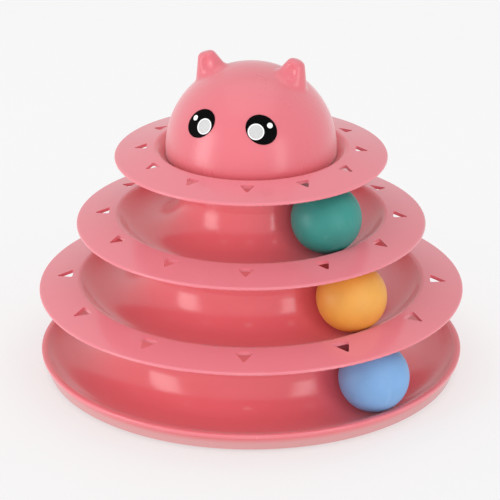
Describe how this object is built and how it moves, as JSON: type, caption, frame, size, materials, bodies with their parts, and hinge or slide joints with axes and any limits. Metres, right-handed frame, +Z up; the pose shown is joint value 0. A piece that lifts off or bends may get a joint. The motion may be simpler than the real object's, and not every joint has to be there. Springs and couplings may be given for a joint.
{
  "type": "cat ball track tower",
  "caption": "Stacked round ball tracks for a cat to paw at, each with a windowed brim and a trapped rolling ball, under a domed cat's head with ears.",
  "frame": {"origin": "on the ground under the pads, on the tower's axis", "axes": "+Z up along the tower's axis, the cat's face looks along -Y"},
  "size_m": [0.2476, 0.2476, 0.1896],
  "materials": {
    "pink_plastic": "glossy injection moulded plastic",
    "eye_print": "glossy printed sticker",
    "pad_rubber": "matte stick-on rubber",
    "ball_blue": "satin moulded plastic",
    "ball_yellow": "satin moulded plastic",
    "ball_teal": "satin moulded plastic"
  },
  "bodies": {
    "base": {"base_tray": "pink_plastic", "foot_pad_1": "pad_rubber", "foot_pad_2": "pad_rubber", "foot_pad_3": "pad_rubber", "foot_pad_4": "pad_rubber", "foot_pad_5": "pad_rubber", "foot_pad_6": "pad_rubber"},
    "lower_level": {"lower_track": "pink_plastic"},
    "upper_level": {"upper_track": "pink_plastic"},
    "top": {"top_brim": "pink_plastic", "cat_head": "pink_plastic", "eye_left": "eye_print", "eye_right": "eye_print"},
    "ball_blue": {"ball_blue_top": "ball_blue", "ball_blue_bottom": "ball_blue"},
    "ball_yellow": {"ball_yellow_top": "ball_yellow", "ball_yellow_bottom": "ball_yellow"},
    "ball_teal": {"ball_teal_top": "ball_teal", "ball_teal_bottom": "ball_teal"}
  },
  "joints": [
    {"name": "lower_level_lift", "type": "slide", "parent": "base", "child": "lower_level", "axis": [0, 0, 1], "range_m": [0, 0.06]},
    {"name": "upper_level_lift", "type": "slide", "parent": "lower_level", "child": "upper_level", "axis": [0, 0, 1], "range_m": [0, 0.06]},
    {"name": "top_lift", "type": "slide", "parent": "upper_level", "child": "top", "axis": [0, 0, 1], "range_m": [0, 0.06]},
    {"name": "ball_blue_roll", "type": "hinge", "parent": "base", "child": "ball_blue", "pos_m": [0, 0, 0.0271], "axis": [0, 0, 1], "continuous": true},
    {"name": "ball_yellow_roll", "type": "hinge", "parent": "lower_level", "child": "ball_yellow", "pos_m": [0, 0, 0.0674], "axis": [0, 0, 1], "continuous": true},
    {"name": "ball_teal_roll", "type": "hinge", "parent": "upper_level", "child": "ball_teal", "pos_m": [0, 0, 0.1077], "axis": [0, 0, 1], "continuous": true}
  ]
}
